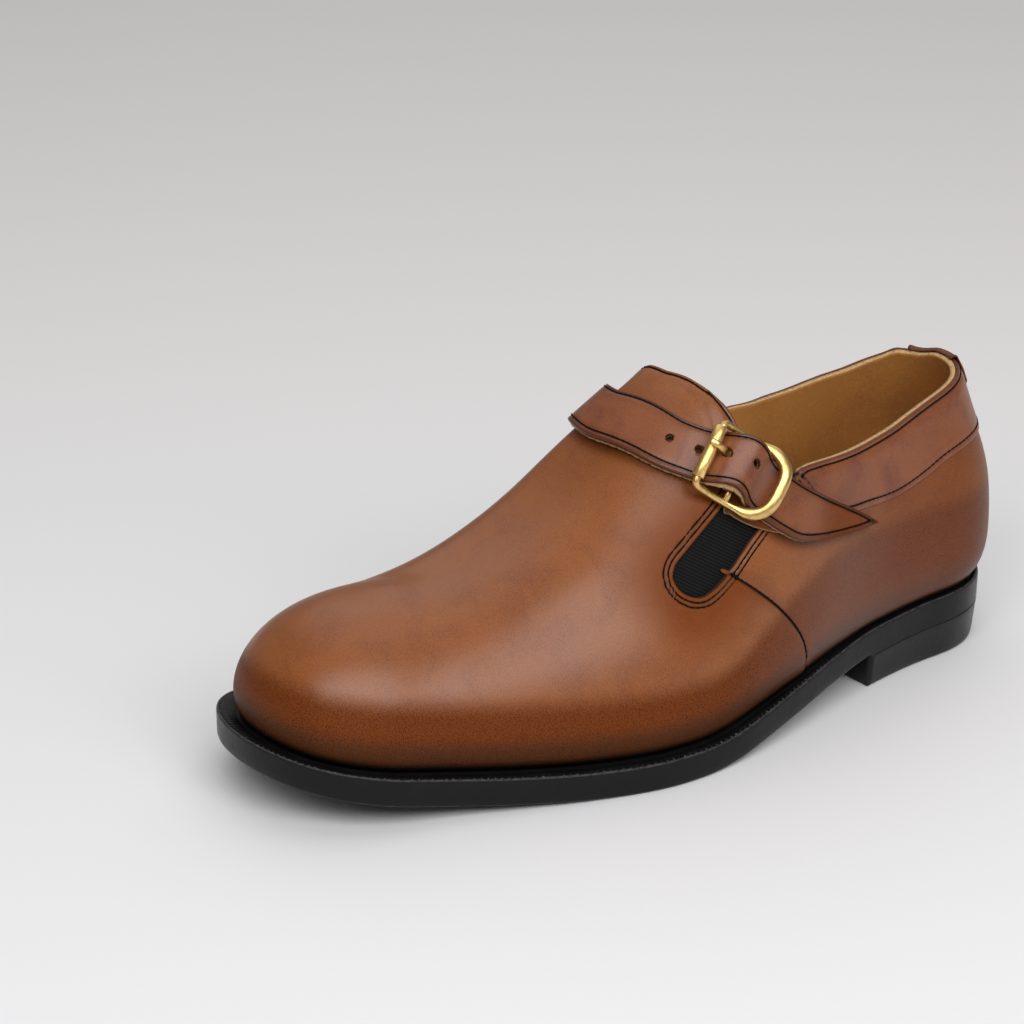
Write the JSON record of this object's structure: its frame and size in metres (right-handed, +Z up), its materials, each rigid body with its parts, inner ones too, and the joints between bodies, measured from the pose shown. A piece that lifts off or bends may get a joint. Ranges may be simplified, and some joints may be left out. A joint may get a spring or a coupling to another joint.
{
  "type": "monk strap shoe",
  "caption": "Left low shoe of tan leather with a buckled strap across the instep, elastic panels beside the tongue, a stitched welt, black sole edge and low block heel.",
  "frame": {"origin": "on the ground at the middle of the shoe's bounding box seen from above", "axes": "+Z up, toe towards -Y, heel towards +Y, outer (lateral, buckle) side towards +X, inner side towards -X"},
  "size_m": [0.1094, 0.2928, 0.1157],
  "materials": {
    "calf": "burnished, semi-gloss",
    "strap_calf": "burnished, semi-gloss",
    "lining": "matte",
    "sole_edge": "waxed black edge, satin",
    "elastic": "ribbed, matte",
    "buckle": "aged, polished high spots"
  },
  "bodies": {
    "root": {"outsole": "sole_edge", "welt": "sole_edge", "heel": "sole_edge", "insole": "lining", "upper": "calf", "gore_lateral": "elastic", "gore_medial": "elastic", "strap": "strap_calf", "chape": "strap_calf", "buckle_frame": "buckle", "buckle_roller": "buckle", "buckle_prong": "buckle"}
  },
  "joints": []
}
